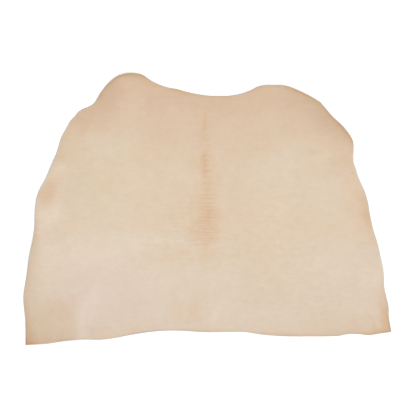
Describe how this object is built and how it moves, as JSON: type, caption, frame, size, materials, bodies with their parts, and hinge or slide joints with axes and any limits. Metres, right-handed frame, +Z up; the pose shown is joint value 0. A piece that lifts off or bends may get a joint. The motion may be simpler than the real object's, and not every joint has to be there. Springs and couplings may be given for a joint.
{
  "type": "leather hide",
  "caption": "Natural vegetable-tanned leather hide, lying grain side up: cut edge at the back end, two flanks and a wavy neck edge between two shoulder lobes.",
  "frame": {"origin": "under the middle of the hide's box, on the surface that it lies on", "axes": "+X across the hide to its right flank, +Y along the backbone from the cut edge to the neck, +Z up out of the grain side"},
  "size_m": [1.4162, 1.0472, 0.013],
  "materials": {
    "hide": "undyed vegetable-tanned grain, smooth and dull, pale pinkish tan with darker edges and backbone"
  },
  "bodies": {
    "root": {"hide": "hide"}
  },
  "joints": []
}
